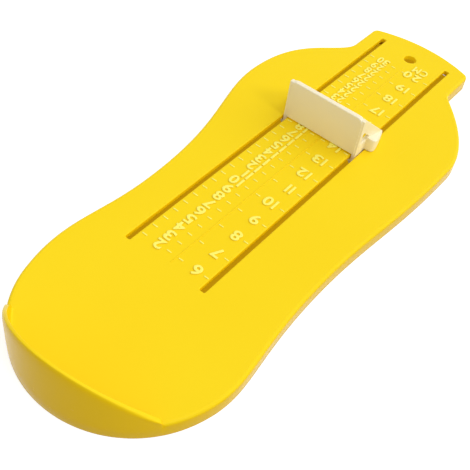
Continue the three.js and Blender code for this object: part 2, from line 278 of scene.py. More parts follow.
# Table, in metres: how far it reaches from its middle, and its gap below the board
FLOOR_REACH = 3.0
FLOOR_GAP = 0.0001

# Table's light: thrown back on the object, thrown back to the camera, its glow, and its painted
# shade
FLOOR_BOUNCE = 0.4
FLOOR_SHADE = 0.6
FLOOR_GLOW = 0.7
# Dark amber painted on the table under the board as its shade, and glowing with the table's glow
UNDER_BOARD_PAINTED_SHADE = (0.53, 0.295, 0.004, 1.0)

# Half width of the strips below the slots that stay dark
SLOT_SHADE = 4.0

# Rectangles of the table in the board's shade: under the sole, the toe tab and the tab's end
SHADED_AREAS = (
    (Vector((-28.0, 22.0)), Vector((30.0, 190.0))),
    (Vector((-20.5, 185.0)), Vector((21.0, 218.5))),
    (Vector((-19.3, 200.0)), Vector((18.6, 220.6))),
)

# Room and lamps: strengths, directions towards each lamp and spreads in degrees
ROOM_LIGHT = 0.58
KEY_DIRECTION = (0.62, 0.68, 0.95)
KEY_STRENGTH = 1.4
KEY_SPREAD = 80
GLINT_DIRECTION = (0.8, -0.15, 0.75)
GLINT_STRENGTH = 0.42
GLINT_SPREAD = 16
FILL_DIRECTION = (-0.85, -0.45, 0.3)
FILL_STRENGTH = 0.28
FILL_SPREAD = 60

# The board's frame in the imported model: its ball and the back of its heel touch the box's sides
board_low, board_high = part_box("sole_board")
ORIGIN = Vector(
    (
        board_high.x / MM - RIGHT_SIDE["ball"][0],
        board_low.y / MM + HEEL_WALL + HEEL_WALL_PROUD,
        board_low.z / MM,
    )
)


def add_object(name, bm):
    """Turns a bmesh drawn in the board's frame into an object with its faces turned outwards."""
    bmesh.ops.recalc_face_normals(bm, faces=bm.faces)
    mesh = bpy.data.meshes.new(name)
    bm.to_mesh(mesh)
    bm.free()
    piece = bpy.data.objects.new(name, mesh)
    bpy.context.scene.collection.objects.link(piece)
    return piece


def put_in_place(piece):
    """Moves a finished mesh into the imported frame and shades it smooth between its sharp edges."""
    piece.data.transform(Matrix.Scale(MM, 4) @ Matrix.Translation(ORIGIN))
    piece.data.shade_smooth()
    piece.data.set_sharp_from_angle(angle=SHARP_ANGLE)
    return piece


# Curves


def bezier_points(start, pull_start, pull_end, end, spacing):
    """Points along a cubic curve without its end point."""
    length = (end - start).length
    count = max(3, round(length / spacing)) + 1
    points = interpolate_bezier(
        start.to_3d(), pull_start.to_3d(), pull_end.to_3d(), end.to_3d(), count
    )
    return [point.to_2d() for point in points[:-1]]


def arc_points(centre, radius, start, end, spacing):
    """Points along an arc between two angles in degrees, without its end point."""
    sweep = math.radians(end - start)
    count = max(2, round(abs(sweep) * radius / spacing))
    first = math.radians(start)
    return [
        centre + radius * Vector((math.cos(turn), math.sin(turn)))
        for turn in (first + sweep * i / count for i in range(count))
    ]


def outward_normals(loop):
    """Normals of a closed loop that runs anticlockwise round its material."""
    normals = []
    for i, point in enumerate(loop):
        run = (loop[(i + 1) % len(loop)] - loop[i - 1]).normalized()
        normals.append(Vector((run.y, -run.x)))
    return normals


def quarter_turns(steps):
    """Angles from 0 to a quarter turn, both ends included."""
    return [i / steps * math.pi / 2 for i in range(steps + 1)]


def rounded_loop(corners, radii, steps=5):
    """A closed polygon with its corners rounded to the given radii."""
    loop = []
    for i, corner in enumerate(corners):
        to_last = (corners[i - 1] - corner).normalized()
        to_next = (corners[(i + 1) % len(corners)] - corner).normalized()
        half_angle = to_last.angle(to_next) / 2
        run = radii[i] / math.tan(half_angle)
        centre = corner + (to_last + to_next).normalized() * radii[i] / math.sin(half_angle)
        start = corner + to_last * run - centre
        end = corner + to_next * run - centre
        for k in range(steps + 1):
            loop.append(centre + start.slerp(end, k / steps) * radii[i])
    return loop


# Outline of the sole


def side_points(side, spacing):
    """One side of the sole, from the heel arc to the foot of the toe tab."""
    sign = side["sign"]
    angle = math.radians(side["heel_angle"])
    neck_turn = math.radians(side["neck_angle"])
    heel = HEEL_CENTRE + HEEL_OUTER_RADIUS * Vector((math.cos(angle), math.sin(angle)))
    heel_run = sign * Vector((-math.sin(angle), math.cos(angle)))
    waist = Vector((sign * side["waist"][0], side["waist"][1]))
    ball = Vector((sign * side["ball"][0], side["ball"][1]))
    corner = Vector((TAB_MIDDLE_X + sign * TAB_WIDTH / 2, NECK_Y))
    neck_run = Vector((-sign * math.cos(neck_turn), math.sin(neck_turn)))
    neck = corner - neck_run * NECK_ROUNDING
    tab_foot = corner + Vector((0, NECK_ROUNDING))
    forward = Vector((0, 1))
    heel_end = heel + heel_run * side["heel_pull"]
    waist_start = waist - forward * side["waist_back"]
    waist_end = waist + forward * side["waist_pull"]
    ball_start = ball - forward * side["ball_back"]
    ball_end = ball + forward * side["ball_pull"]
    neck_start = neck - neck_run * side["neck_pull"]
    neck_end = neck.lerp(corner, NECK_CORNER_PULL)
    tab_start = tab_foot.lerp(corner, NECK_CORNER_PULL)
    return [
        *bezier_points(heel, heel_end, waist_start, waist, spacing),
        *bezier_points(waist, waist_end, ball_start, ball, spacing),
        *bezier_points(ball, ball_end, neck_start, neck, spacing),
        *bezier_points(neck, neck_end, tab_start, tab_foot, spacing / 2),
        tab_foot,
    ]


def tab_points(spacing):
    """The end of the toe tab, between its two feet, from right to left."""
    centre = Vector((TAB_MIDDLE_X, TAB_END - TAB_END_RADIUS))
    corner_x = TAB_WIDTH / 2 - TAB_CORNER_RADIUS
    reach = TAB_END_RADIUS - TAB_CORNER_RADIUS
    corner_y = centre.y + math.sqrt(reach**2 - corner_x**2)
    turn = math.degrees(math.atan2(corner_y - centre.y, corner_x))
    fine = spacing / 2
    right = Vector((TAB_MIDDLE_X + corner_x, corner_y))
    left = Vector((TAB_MIDDLE_X - corner_x, corner_y))
    return [
        *arc_points(right, TAB_CORNER_RADIUS, 0, turn, fine),
        *arc_points(centre, TAB_END_RADIUS, turn, 180 - turn, spacing),
        *arc_points(left, TAB_CORNER_RADIUS, 180 - turn, 180, fine),
        Vector((TAB_MIDDLE_X - TAB_WIDTH / 2, corner_y)),
    ]


def sole_stations():
    """Points round the sole, anticlockwise from the right end of the heel arc, with their kinds:
    "edge" where the deck ends in a rounded edge and "wall" where the heel cup stands on it."""
    right = side_points(RIGHT_SIDE, SOLE_SPACING)
    left = side_points(LEFT_SIDE, SOLE_SPACING)
    loop = [(point, "edge") for point in right + tab_points(SOLE_SPACING) + left[::-1]]
    loop.pop()
    for start, end, kind in (
        (LEFT_SIDE["heel_angle"], HEEL_WALL_START, "edge"),
        (HEEL_WALL_START, HEEL_WALL_END, "wall"),
        (HEEL_WALL_END, RIGHT_SIDE["heel_angle"], "edge"),
    ):
        arc = arc_points(HEEL_CENTRE, HEEL_OUTER_RADIUS, start, end, SOLE_SPACING)
        loop += [(point, kind) for point in arc]
    return loop


# Sections of the board's edge


def quarter_round(centre, radius, start, end, steps):
    """Points of a quarter round, both ends included."""
    points = []
    for i in range(steps + 1):
        turn = math.radians(start + (end - start) * i / steps)
        points.append(centre + radius * Vector((math.cos(turn), math.sin(turn))))
    return points


def skirt_section():
    """From the skirt's outer foot under the board to the level underside of the deck. Points of
    this and of all sections are (distance in from the outline, height)."""
    radius = FOOT_EDGE_RADIUS
    outer_centre = Vector((radius, radius))
    inner_centre = Vector((SKIRT_THICKNESS - radius, radius))
    foot = quarter_round(outer_centre, radius, 180, 270, FOOT_EDGE_STEPS)
    inner = quarter_round(inner_centre, radius, 270, 360, FOOT_EDGE_STEPS)
    face_top = UNDER_DECK - UNDER_DECK_RADIUS
    root_centre = Vector((SKIRT_THICKNESS + DRAFT * face_top + UNDER_DECK_RADIUS, face_top))
    root = quarter_round(root_centre, UNDER_DECK_RADIUS, 180, 90, UNDER_DECK_STEPS)
    flat = Vector((root[-1].x + UNDERSIDE_MARGIN, UNDER_DECK))
    return foot + inner + root + [flat]


def edge_height(inset):
    """Height of the rounded deck edge at a distance in from the outline."""
    base = DRAFT * (BOARD_HEIGHT - TOP_EDGE_RADIUS)
    run = min(max(inset - base, 0), TOP_EDGE_RADIUS)
    rise = math.sqrt(TOP_EDGE_RADIUS**2 - (TOP_EDGE_RADIUS - run) ** 2)
    return BOARD_HEIGHT - TOP_EDGE_RADIUS + rise


def wall_section(rim, narrowing=0.0):
    """The heel wall from the deck to the top of the skirt. Narrowing draws the wall in from all
    sides above the deck's edge, for the rounded edges of its ends."""
    rise = rim - BOARD_HEIGHT
    foot_radius = min(HEEL_FOOT_RADIUS, rise / 2)
    top = rim - narrowing
    skirt_top = BOARD_HEIGHT - TOP_EDGE_RADIUS
    outer_top = -HEEL_WALL_PROUD + DRAFT * rim + narrowing
    inner_top = HEEL_WALL - DRAFT * rise - narrowing
    rim_inner = min(HEEL_RIM_INNER_RADIUS, (inner_top - outer_top) / 4)
    round_width = inner_top - outer_top - rim_inner - HEEL_RIM_FLAT
    round_height = min(HEEL_RIM_ROUND_HEIGHT, rise * HEEL_RIM_ROUND_SHARE)
    foot_x = HEEL_WALL - narrowing + foot_radius
    deck = [Vector((foot_x + distance, BOARD_HEIGHT)) for distance in DECK_BY_WALL]
    foot_centre = Vector((foot_x, BOARD_HEIGHT + foot_radius))
    foot = quarter_round(foot_centre, foot_radius, 270, 180, WALL_FOOT_STEPS)
    face_top = Vector((inner_top, top - rim_inner))
    face = [foot[-1].lerp(face_top, i / WALL_FACE_STEPS) for i in range(1, WALL_FACE_STEPS)]
    rim_centre = Vector((inner_top - rim_inner, top - rim_inner))
    rim_points = quarter_round(rim_centre, rim_inner, 0, 90, RIM_INNER_STEPS)
    corner = Vector((outer_top, top))
    start = Vector((outer_top + round_width, top))
    end = Vector((outer_top - DRAFT * round_height, top - round_height))
    soft = []
    outer = []
    for i in range(RIM_ROUND_STEPS + 1):
        t = i / RIM_ROUND_STEPS
        soft.append(start.lerp(corner, t).lerp(corner.lerp(end, t), t))
    edge_base = Vector((DRAFT * skirt_top - HEEL_WALL_PROUD, skirt_top))
    for i in range(1, WALL_OUTER_STEPS + 1):
        outer.append(soft[-1].lerp(edge_base, i / WALL_OUTER_STEPS))
    return deck + foot + face + rim_points + soft + outer


def end_section(wall):
    """The deck's rounded edge under the end face of the heel wall, point below point."""
    points = []
    for point in wall:
        height = min(point.y, edge_height(point.x)) if point.y > BOARD_HEIGHT else point.y
        points.append(Vector((point.x, height)))
    return points


def edge_section(count):
    """The deck's rounded edge away from the heel wall, with as many points as the wall's section."""
    base = DRAFT * (BOARD_HEIGHT - TOP_EDGE_RADIUS)
    round_start = base + TOP_EDGE_RADIUS
    flat = [Vector((round_start + distance, BOARD_HEIGHT)) for distance in DECK_BY_EDGE]
    centre = Vector((round_start, BOARD_HEIGHT - TOP_EDGE_RADIUS))
    return flat + quarter_round(centre, TOP_EDGE_RADIUS, 90, 180, count - len(flat) - 1)


def rim_height(point):
    """Height of the heel cup's rim, cut by a plane that slopes down towards the toes."""
    inner = (point - HEEL_CENTRE).normalized() * HEEL_RADIUS
    fall = HEEL_RIM_SLOPE * (inner.y + HEEL_CENTRE.y) - HEEL_RIM_LEAN * inner.x
    return BOARD_HEIGHT + HEEL_WALL_HEIGHT - fall


# The board


def board_sections():
    """Every station of the board's edge: its point, its normal and its section."""
    stations = sole_stations()
    normals = outward_normals([point for point, kind in stations])
    skirt = skirt_section()
    wall_count = len(wall_section(BOARD_HEIGHT + HEEL_WALL_HEIGHT))
    sections = []
    for i, (point, kind) in enumerate(stations):
        last_kind = stations[i - 1][1]
        normal = normals[i]
        if "wall" in (kind, last_kind):
            normal = (point - HEEL_CENTRE).normalized()
        if kind == last_kind == "edge":
            sections.append((point, normal, edge_section(wall_count) + skirt))
        elif kind == last_kind:
            sections.append((point, normal, wall_section(rim_height(point)) + skirt))
        else:
            ending = end_stations(point, -1 if kind == "edge" else 1)
            sections += [(p, n, section + skirt) for p, n, section in ending]
    return sections


def end_stations(point, direction):
    """Stations that round off one end of the heel wall and close it with an end face."""
    radius = HEEL_END_RADIUS
    normal = (point - HEEL_CENTRE).normalized()
    rim = rim_height(point)
    closing = wall_section(rim, radius)
    stations = [(point, normal, end_section(closing)), (point, normal, closing)]
    for turn in quarter_turns(WALL_END_STEPS)[1:]:
        angle = direction * radius * (1 - math.cos(turn)) / HEEL_OUTER_RADIUS
        turned = normal.copy()
        turned.rotate(Matrix.Rotation(angle, 2))
        narrowing = radius * (1 - math.sin(turn))
        place = HEEL_CENTRE + turned * HEEL_OUTER_RADIUS
        stations.append((place, turned, wall_section(rim_height(place), narrowing)))
    return stations if direction > 0 else stations[::-1]


def add_rings(bm, rings):
    """Joins closed rings of points by faces and returns the first and last ring's vertices."""
    rows = [[bm.verts.new(point) for point in ring] for ring in rings]
    for lower, upper in zip(rows, rows[1:]):
        for i in range(len(lower)):
            corners = (lower[i - 1], lower[i], upper[i], upper[i - 1])
            bm.faces.new(corners)
    return rows[0], rows[-1]


def fill_between(bm, rings):
    """Fills the level face between an outer ring and the rings of its holes."""
    edges = []
    for ring in rings:
        for i in range(len(ring)):
            edge = bm.edges.get((ring[i - 1], ring[i]))
            edges.append(edge or bm.edges.new((ring[i - 1], ring[i])))
    bmesh.ops.triangle_fill(bm, use_beauty=True, edges=edges)


def edge_levels(first, last, radius):
    """A wall between two levels with both its edges rounded, as (distance from the wall, level)."""
    way = math.copysign(radius, last - first)
    levels = []
    for turn in quarter_turns(EDGE_STEPS):
        levels.append((radius * (1 - math.sin(turn)), first + way * (1 - math.cos(turn))))
    for turn in quarter_turns(EDGE_STEPS):
        levels.append((radius * (1 - math.cos(turn)), last - way * (1 - math.sin(turn))))
    return levels


def opening_rings(loop, radius):
    """Rings of the wall of an opening through the deck, with a strip of the deck on either side."""
    normals = outward_normals(loop)
    margin = radius + OPENING_MARGIN
    levels = [
        (margin, BOARD_HEIGHT),
        *edge_levels(BOARD_HEIGHT, UNDER_DECK, radius),
        (margin, UNDER_DECK),
    ]
    return [
        [(point + normal * out).to_3d() + Vector((0, 0, z)) for point, normal in zip(loop, normals)]
        for out, z in levels
    ]


def slot_loop(x):
    """Outline of the slot whose middle lies at a distance across the board."""
    half = SLOT_WIDTH / 2
    corners = [
        Vector((x - half, SLOT_START)),
        Vector((x + half, SLOT_START)),
        Vector((x + half, SLOT_END)),
        Vector((x - half, SLOT_END)),
    ]
    return rounded_loop(corners, [SLOT_CORNER_RADIUS] * 4)


def hole_loop():
    """Outline of the hanging hole in the toe tab."""
    return arc_points(HANGING_HOLE, HANGING_HOLE_RADIUS, 0, 360, HOLE_SPACING)


def make_board():
    """The board as one closed skin: its edge all round, its openings, its deck and its underside."""
    bm = bmesh.new()
    sections = board_sections()
    rings = []
    for k in range(len(sections[0][2])):
        ring = []
        for point, normal, section in sections:
            place = point - normal * section[k].x
            ring.append(Vector((place.x, place.y, section[k].y)))
        rings.append(ring)
    deck_ring, underside_ring = add_rings(bm, rings)
    deck_rings = [deck_ring]
    underside_rings = [underside_ring]
    for loop in (slot_loop(-SLOT_X), slot_loop(SLOT_X), hole_loop()):
        above, below = add_rings(bm, opening_rings(loop, SLOT_EDGE_RADIUS))
        deck_rings.append(above)
        underside_rings.append(below)
    fill_between(bm, deck_rings)
    fill_between(bm, underside_rings)
    return put_in_place(add_object("measuring_board", bm))


# Raised scale


def glyph_mesh(character):
    """One figure or letter of the built-in font as raised relief, from (0, 0) to (1, 1) in plan."""
    curve = bpy.data.curves.new("figure", "FONT")
    curve.body = character
    curve.size = 1
    curve.extrude = STROKE_DEPTH
    curve.bevel_depth = STROKE_BEVEL
    curve.bevel_resolution = 2
    text = bpy.data.objects.new("figure", curve)
    bpy.context.scene.collection.objects.link(text)
    depsgraph = bpy.context.evaluated_depsgraph_get()
    mesh = bpy.data.meshes.new_from_object(text.evaluated_get(depsgraph))
    bpy.data.objects.remove(text)
    places = [vert.co for vert in mesh.vertices]
    low = Vector([min(axis) for axis in zip(*places)])
    high = Vector([max(axis) for axis in zip(*places)])
    scale = Matrix.Diagonal((*(1 / size for size in high - low), 1))
    mesh.transform(scale @ Matrix.Translation(-low))
    return mesh


def character_width(character, setting):
    """Width of a character: a one is narrower than the other digits, and letters have their own."""
    if character == "1":
        return setting["one"]
    return setting["digit"] if character.isdigit() else setting[character]


def add_figures(bm, glyphs, text, y, setting):
    """Writes a text that reads from the toe end: it runs towards -X with its top towards -Y."""
    x = setting["x"]
    height = setting["height"]
    turn = Matrix.Rotation(math.pi, 4, "Z")
    for character in text:
        width = character_width(character, setting)
        place = Matrix.Translation((x, y + height / 2, BOARD_HEIGHT - RELIEF_SUNK))
        size = Matrix.Diagonal((width, height, RELIEF + RELIEF_SUNK, 1))
        before = set(bm.verts)
        bm.from_mesh(glyphs[character])
        added = [vert for vert in bm.verts if vert not in before]
        bmesh.ops.transform(bm, matrix=place @ turn @ size, verts=added)
        x -= width + setting["gap"]


def scale_marks():
    """Numbers of the fine column and of the centimetre column, each with its place along Y."""
    fine = [(n, FINE_ZERO + n * FINE_PITCH) for n in range(FINE_FIRST, FINE_LAST + 1)]
    centimetres = [(n, n * CM_PITCH) for n in range(CM_FIRST, CM_LAST + 1)]
    return fine, centimetres


def fine_setting(number):
    """Setting of a number of the fine column, which has less room for two wide digits."""
    if number < 10:
        return FINE_SINGLE
    return FINE_TEEN if number < 20 else FINE_HIGH


def make_figures():
    """The numbers of both columns and the unit over the centimetres."""
    glyphs = {character: glyph_mesh(character) for character in "0123456789CM"}
    fine, centimetres = scale_marks()
    bm = bmesh.new()
    for number, y in fine:
        add_figures(bm, glyphs, str(number), y, fine_setting(number))
    for number, y in centimetres:
        add_figures(bm, glyphs, str(number), y, CM_SINGLE if number < 10 else CM_DOUBLE)
    add_figures(bm, glyphs, "CM", UNIT_Y, UNIT)
    return put_in_place(add_object("scale_figures", bm))


def add_bar(bm, x0, y0, x1, y1, rise):
    """A raised bar with a rounded top, between two corners in plan."""
    corners = [Vector((x0, y0)), Vector((x1, y0)), Vector((x1, y1)), Vector((x0, y1))]
    radius = min(x1 - x0, y1 - y0) / BAR_WIDTH_TO_CORNER
    loop = rounded_loop(corners, [radius] * 4, EDGE_STEPS)
    normals = outward_normals(loop)
    levels = [(0, BOARD_HEIGHT - RELIEF_SUNK)]
    for turn in quarter_turns(EDGE_STEPS):
        inset = radius * BAR_TOP_INSET * (1 - math.cos(turn))
        levels.append((inset, BOARD_HEIGHT + rise * math.sin(turn)))
    rings = [
        [(p - n * inset).to_3d() + Vector((0, 0, z)) for p, n in zip(loop, normals)]
        for inset, z in levels
    ]
    bottom, top = add_rings(bm, rings)
    bm.faces.new(bottom)
    bm.faces.new(top)


def make_ticks():
    """Two short bars beside each number, one on either side."""
    bm = bmesh.new()
    half = TICK_WIDTH / 2
    for marks, ticks in zip(scale_marks(), (FINE_TICKS, CM_TICKS)):
        for _, y in marks:
            for start, end in ticks:
                add_bar(bm, start, y - half, end, y + half, TICK_RISE)
    return put_in_place(add_object("scale_ticks", bm))


def make_divider():
    """The thin bar between the two columns."""
    bm = bmesh.new()
    add_bar(bm, DIVIDER_X[0], DIVIDER_Y[0], DIVIDER_X[1], DIVIDER_Y[1], DIVIDER_RISE)
    return put_in_place(add_object("scale_divider", bm))


# Slider


def add_slab(bm, loops, place, near, far, radius):
    """A flat moulding between two levels, with rounded edges round its outline and its holes.
    Place turns a point of the outline and a level into a point of the board's frame."""
    levels = edge_levels(near, far, radius)
    near_rings = []
    far_rings = []
    for loop, side in loops:
        normals = outward_normals(loop)
        rings = [
            [place(point - side * normal * inset, level) for point, normal in zip(loop, normals)]
            for inset, level in levels
        ]
        first, last = add_rings(bm, rings)
        near_rings.append(first)
        far_rings.append(last)
    fill_between(bm, near_rings)
    fill_between(bm, far_rings)


def across(point, level):
    """A side view, drawn as (y, z), at a distance across the board."""
    return Vector((level, point.x, point.y))


def along(point, level):
    """A front view, drawn as (x, z), at a distance along the board."""
    return Vector((point.x, level, point.y))


def add_stop_plate(bm):
    """The standing plate that the toes touch, with rounded upper corners."""
    half = PLATE_WIDTH / 2
    corners = [
        Vector((-half, PLATE_FOOT)),
        Vector((half, PLATE_FOOT)),
        Vector((half, PLATE_TOP)),
        Vector((-half, PLATE_TOP)),
    ]
    radii = [PLATE_FOOT_RADIUS] * 2 + [PLATE_CORNER_RADIUS] * 2
    loop = rounded_loop(corners, radii, CORNER_STEPS)
    add_slab(bm, [(loop, 1)], along, SLIDER_Y, SLIDER_Y + PLATE_THICKNESS, PLATE_EDGE_RADIUS)


def gusset_loops():
    """Side view of a gusset with its snap leg, and its window."""
    back = SLIDER_Y + PLATE_THICKNESS
    tail = SLIDER_Y + GUSSET_LENGTH
    leg_front = SLIDER_Y + LEG_SETBACK
    leg_back = leg_front + LEG_LENGTH
    fall = (GUSSET_TOP - GUSSET_TAIL_TOP) / (tail - back)
    outline = [
        Vector((leg_front, LEG_FOOT)),
        Vector((leg_back, LEG_FOOT)),
        Vector((leg_back, GUSSET_FOOT)),
        Vector((tail, GUSSET_FOOT)),
        Vector((tail, GUSSET_TAIL_TOP)),
        Vector((back, GUSSET_TOP)),
        Vector((leg_front, GUSSET_TOP)),
    ]
    outline = rounded_loop(outline, LEG_CORNER_RADII + GUSSET_CORNER_RADII)
    drop = WINDOW_FROM_SLOPE * math.hypot(1, fall)
    window_front = back + WINDOW_FROM_PLATE
    window_top = GUSSET_TOP - drop - fall * WINDOW_FROM_PLATE
    window_tip = back + (GUSSET_TOP - drop - WINDOW_SILL) / fall
    window = [
        Vector((window_front, WINDOW_SILL)),
        Vector((window_tip, WINDOW_SILL)),
        Vector((window_front, window_top)),
    ]
    return outline, rounded_loop(window, [WINDOW_CORNER_RADIUS] * 3)


def add_gusset(bm, side):
    """The triangular web behind one end of the plate, with its window and its snap leg."""
    outline, window = gusset_loops()
    near = side * SLOT_X - WEB_THICKNESS / 2
    loops = [(outline, 1), (window, -1)]
    add_slab(bm, loops, across, near, near + WEB_THICKNESS, GUSSET_EDGE_RADIUS)


def pad_top(y):
    """Height of a pad's top, which falls towards its tail."""
    front = SLIDER_Y + PAD_START
    tail = SLIDER_Y + GUSSET_LENGTH
    return PAD_FRONT_TOP + (PAD_TAIL_TOP - PAD_FRONT_TOP) * (y - front) / (tail - front)


def add_pad(bm, side):
    """The sloping pad on the outer side of a gusset, which slides on the deck."""
    face = SLOT_X + WEB_THICKNESS / 2
    reach = face + PAD_REACH
    front = SLIDER_Y + PAD_START
    tail = SLIDER_Y + GUSSET_LENGTH
    turn_end = Vector((reach, front + PAD_CORNER_RADIUS))
    loop = [Vector((SLOT_X, front))]
    corner = Vector((reach, front))
    turn_start = Vector((reach - PAD_CORNER_RADIUS, front))
    for i in range(CORNER_STEPS):
        t = i / CORNER_STEPS
        loop.append(turn_start.lerp(corner, t).lerp(corner.lerp(turn_end, t), t))
    pull_start = Vector((reach, turn_end.y + PAD_SIDE_PULL))
    pull_end = Vector((face + PAD_TAIL_TAPER, tail - 2 * PAD_TAIL_TAPER))
    loop += bezier_points(turn_end, pull_start, pull_end, Vector((face, tail)), PAD_SPACING)
    loop += [Vector((face, tail)), Vector((SLOT_X, tail))]
    normals = outward_normals(loop)
    rings = [[Vector((p.x, p.y, GUSSET_FOOT)) for p in loop]]
    for turn in quarter_turns(PAD_EDGE_STEPS):
        inset = PAD_EDGE_RADIUS * (1 - math.cos(turn))
        below = PAD_EDGE_RADIUS * (1 - math.sin(turn))
        ring = []
        for point, normal in zip(loop, normals):
            p = point - normal * inset
            height = max(pad_top(p.y) - below, GUSSET_FOOT + PAD_LEAST_HEIGHT)
            ring.append(Vector((p.x, p.y, height)))
        rings.append(ring)
    if side < 0:
        rings = [[Vector((-p.x, p.y, p.z)) for p in ring] for ring in rings]
    bottom, top = add_rings(bm, rings)
    bm.faces.new(bottom)
    fill_between(bm, [top])


def add_barbs(bm, side):
    """The wedge along a snap leg that hooks under the deck on both sides of its slot."""
    x = side * SLOT_X
    half = WEB_THICKNESS / 2
    top = UNDER_DECK - RUNNING_CLEARANCE
    wide = half + BARB_REACH
    corners = [
        Vector((x - half, LEG_FOOT)),
        Vector((x + half, LEG_FOOT)),
        Vector((x + wide, top - BARB_LAND)),
        Vector((x + wide, top)),
        Vector((x - wide, top)),
        Vector((x - wide, top - BARB_LAND)),
    ]
    loop = rounded_loop(corners, [BARB_CORNER_RADIUS] * 6, EDGE_STEPS)
    start = SLIDER_Y + LEG_SETBACK
    add_slab(bm, [(loop, 1)], along, start, start + LEG_LENGTH, BARB_EDGE_RADIUS)


def joined(first, second):
    """The union of two objects, in place of the first one."""
    union = first.modifiers.new("union", "BOOLEAN")
    union.operation = "UNION"
    union.solver = "EXACT"
    union.object = second
    depsgraph = bpy.context.evaluated_depsgraph_get()
    mesh = bpy.data.meshes.new_from_object(first.evaluated_get(depsgraph))
    first.modifiers.clear()
    first.data = mesh
    bpy.data.objects.remove(second)
    return first


def make_slider():
    """The plate joined with both gussets, their pads and their legs into one moulding."""
    bm = bmesh.new()
    add_stop_plate(bm)
    slider = add_object("stop_slider", bm)
    for side in (-1, 1):
        for add_part in (add_gusset, add_pad, add_barbs):
            bm = bmesh.new()
            add_part(bm, side)
            slider = joined(slider, add_object("slider part", bm))
    return put_in_place(slider)


# Materials


def add_node(tree, kind, x, y, **values):
    """Adds a node and sets its properties or, by name with _ for a space, its inputs."""
    node = tree.nodes.new(kind)
    node.location = (x, y)
    for name, value in values.items():
        if hasattr(node, name):
            setattr(node, name, value)
        else:
            node.inputs[name.replace("_", " ")].default_value = value
    return node


def moulded_surface():
    """Node group shared by all the plastics: the slow drift of the colour, a mask of the steep walls
    for their painted shade, the fine orange peel of the mould and the faint rubs of handling."""
    group = bpy.data.node_groups.new("Moulded surface", "ShaderNodeTree")
    for name, value in (
        ("Drift Scale", 22.0),
        ("Peel Scale", 900.0),
        ("Peel Depth", 0.05),
        ("Gloss", 0.3),
        ("Rub", 0.1),
    ):
        socket = group.interface.new_socket(name, in_out="INPUT", socket_type="NodeSocketFloat")
        socket.default_value = value
    for name, kind in (
        ("Drift", "NodeSocketFloat"),
        ("Wall Shade", "NodeSocketFloat"),
        ("Roughness", "NodeSocketFloat"),
        ("Normal", "NodeSocketVector"),
    ):
        group.interface.new_socket(name, in_out="OUTPUT", socket_type=kind)
    inside = add_node(group, "NodeGroupInput", -900, 0)
    outside = add_node(group, "NodeGroupOutput", 600, 0)
    place = add_node(group, "ShaderNodeTexCoord", -900, -300)
    drift = add_node(group, "ShaderNodeTexNoise", -600, 300, Detail=3.0)
    peel = add_node(group, "ShaderNodeTexNoise", -600, 0, Detail=2.0)
    stretch = add_node(group, "ShaderNodeMapping", -600, -300)
    stretch.inputs["Scale"].default_value = RUB_STRETCH
    stretch.inputs["Rotation"].default_value = RUB_TURN
    rubs = add_node(group, "ShaderNodeTexNoise", -400, -300, Scale=RUB_SCALE, Detail=4.0)
    rub_mask = add_node(group, "ShaderNodeMapRange", -200, -300, From_Min=RUB_FROM, From_Max=RUB_TO)
    rub_share = add_node(group, "ShaderNodeMath", 0, -300, operation="MULTIPLY")
    roughness = add_node(group, "ShaderNodeMath", 200, -200, operation="ADD")
    bump = add_node(group, "ShaderNodeBump", 200, 0, Distance=PEEL_HEIGHT)
    # Mask of the steep walls by the normal's Z, where a deeper tone is painted as their shade
    facing = add_node(group, "ShaderNodeSeparateXYZ", -600, 600)
    wall = add_node(group, "ShaderNodeMapRange", -400, 600)
    wall.inputs["From Min"].default_value = WALL_SHADE_FROM
    wall.inputs["From Max"].default_value = WALL_SHADE_TO
    link = group.links.new
    link(place.outputs["Normal"], facing.inputs["Vector"])
    link(facing.outputs["Z"], wall.inputs["Value"])
    link(place.outputs["Object"], drift.inputs["Vector"])
    link(place.outputs["Object"], peel.inputs["Vector"])
    link(place.outputs["Object"], stretch.inputs["Vector"])
    link(stretch.outputs["Vector"], rubs.inputs["Vector"])
    link(inside.outputs["Drift Scale"], drift.inputs["Scale"])
    link(inside.outputs["Peel Scale"], peel.inputs["Scale"])
    link(rubs.outputs["Fac"], rub_mask.inputs["Value"])
    link(rub_mask.outputs["Result"], rub_share.inputs[0])
    link(inside.outputs["Rub"], rub_share.inputs[1])
    link(inside.outputs["Gloss"], roughness.inputs[0])
    link(rub_share.outputs[0], roughness.inputs[1])
    link(peel.outputs["Fac"], bump.inputs["Height"])
    link(inside.outputs["Peel Depth"], bump.inputs["Strength"])
    link(drift.outputs["Fac"], outside.inputs["Drift"])
    link(wall.outputs["Result"], outside.inputs["Wall Shade"])
    link(roughness.outputs[0], outside.inputs["Roughness"])
    link(bump.outputs["Normal"], outside.inputs["Normal"])
    return group


def srgb(red, green, blue):
    """A linear colour from its sRGB values, each from 0 to 255."""
    linear = []
    for value in (red, green, blue):
        share = value / 255
        linear.append(share / 12.92 if share <= 0.04045 else ((share + 0.055) / 1.055) ** 2.4)
    return (*linear, 1.0)


def colour_mix(tree, x, y, first, second):
    """A mix of two colours. Returns its factor socket, its result and its first colour's socket."""
    mix = add_node(tree, "ShaderNodeMix", x, y, data_type="RGBA")
    colours = [socket for socket in mix.inputs if socket.type == "RGBA"]
    colours[0].default_value = first
    colours[1].default_value = second
    result = next(socket for socket in mix.outputs if socket.type == "RGBA")
    return mix.inputs[0], result, colours[0]


